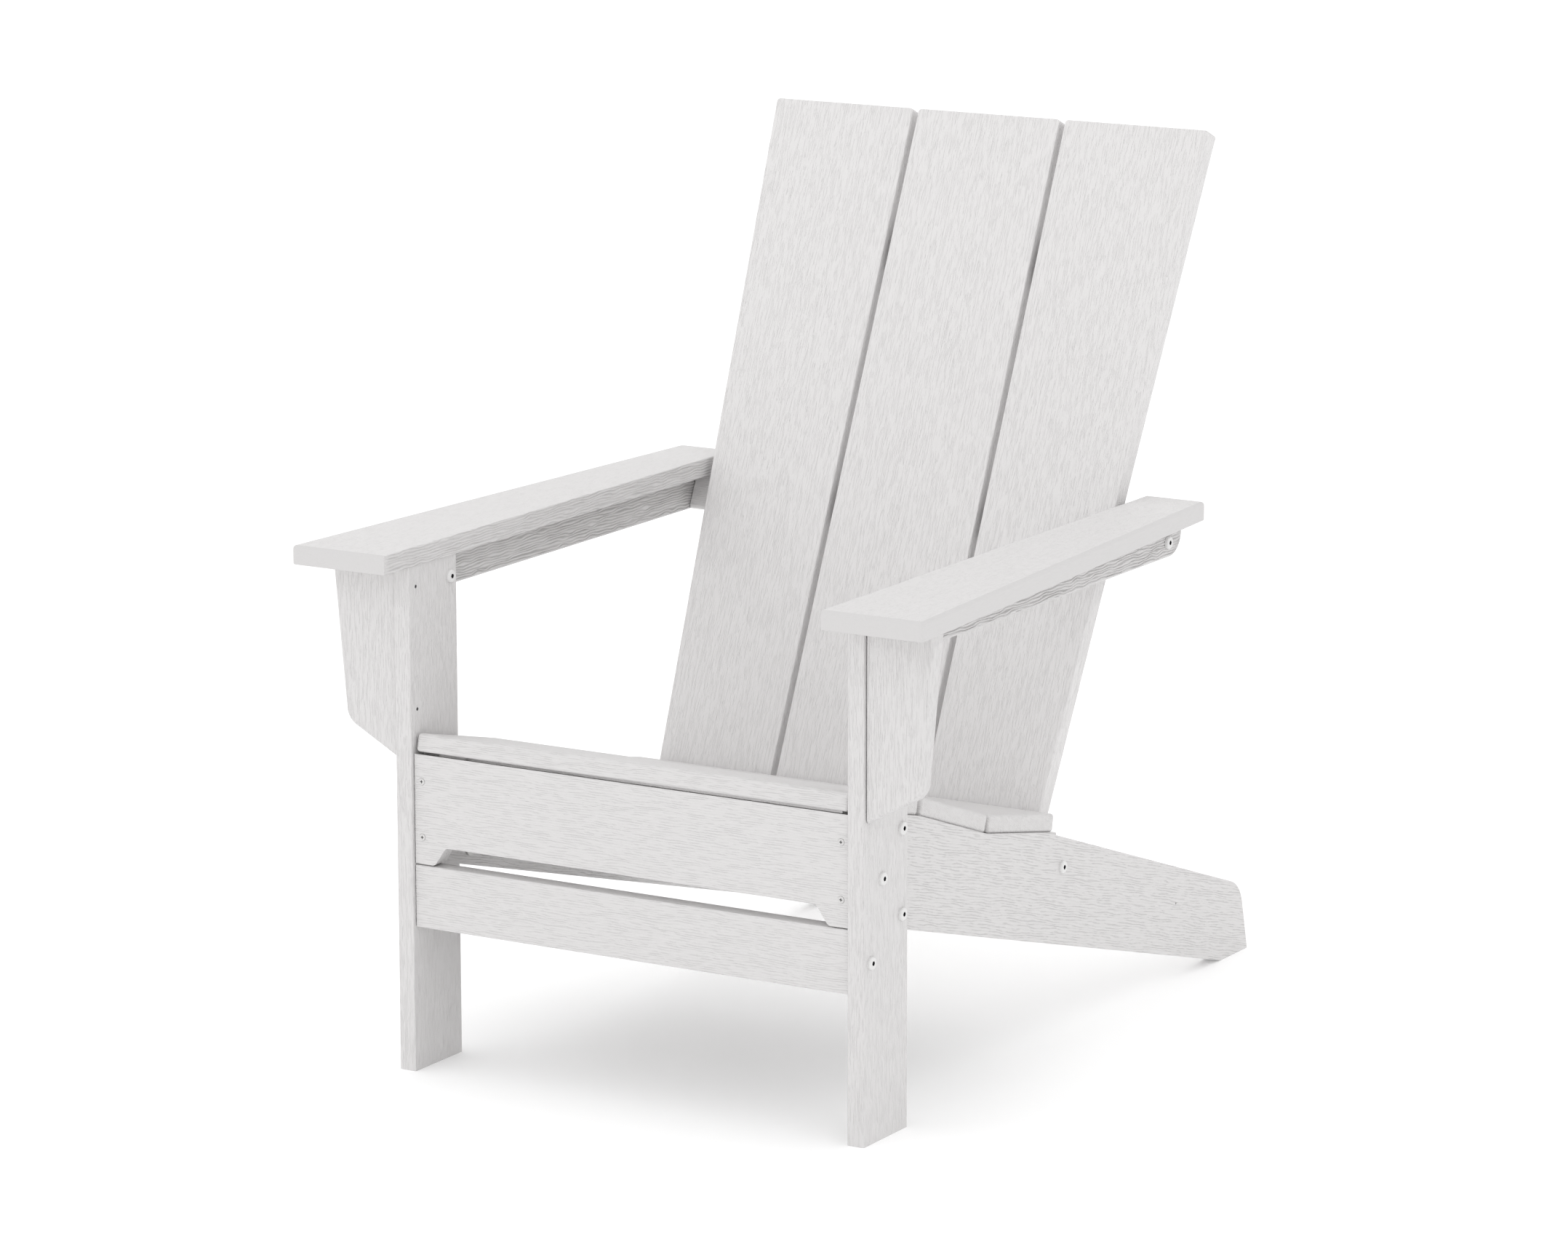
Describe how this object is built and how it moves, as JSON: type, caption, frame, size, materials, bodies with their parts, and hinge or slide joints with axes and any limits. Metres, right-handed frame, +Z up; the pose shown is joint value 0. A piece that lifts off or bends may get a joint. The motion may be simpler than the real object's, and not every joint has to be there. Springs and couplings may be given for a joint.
{
  "type": "adirondack chair",
  "caption": "Low garden armchair of bolted plastic boards with a reclined plank back, sloping slat seat, wide flat arms on braced legs and long stringers to the rear feet.",
  "frame": {"origin": "on the floor, at the bottom centre of the chair's box", "axes": "+Z up, the sitter faces -Y, +X to the sitter's left"},
  "size_m": [0.758, 0.9474, 0.9495],
  "materials": {
    "board": "matte white recycled plastic board with an embossed wood grain",
    "bolt": "white painted button head with a dark hexagon socket",
    "screw": "white painted head with a dark cross recess",
    "nut": "plain steel"
  },
  "bodies": {
    "root": {"left_front_leg": "board", "right_front_leg": "board", "left_arm_bracket": "board", "right_arm_bracket": "board", "left_arm_rail": "board", "right_arm_rail": "board", "left_arm": "board", "right_arm": "board", "left_stringer": "board", "right_stringer": "board", "front_apron": "board", "front_stretcher": "board", "seat_slat_front": "board", "seat_slat_middle": "board", "seat_slat_rear": "board", "left_back_board": "board", "middle_back_board": "board", "right_back_board": "board", "upper_back_batten": "board", "lower_back_rail": "board", "rear_crossbeam": "board", "stringer_bolts": "bolt", "arm_rail_bolts": "bolt", "stretcher_bolts": "bolt", "back_rail_bolts": "bolt", "crossbeam_bolts": "bolt", "apron_screws": "screw", "bracket_screws": "screw", "seat_slat_screws": "screw", "arm_screws": "screw", "back_board_screws": "screw", "stringer_nuts": "nut", "arm_rail_nuts": "nut", "stretcher_barrel_nuts": "nut", "back_rail_barrel_nuts": "nut", "crossbeam_barrel_nuts": "nut"}
  },
  "joints": []
}
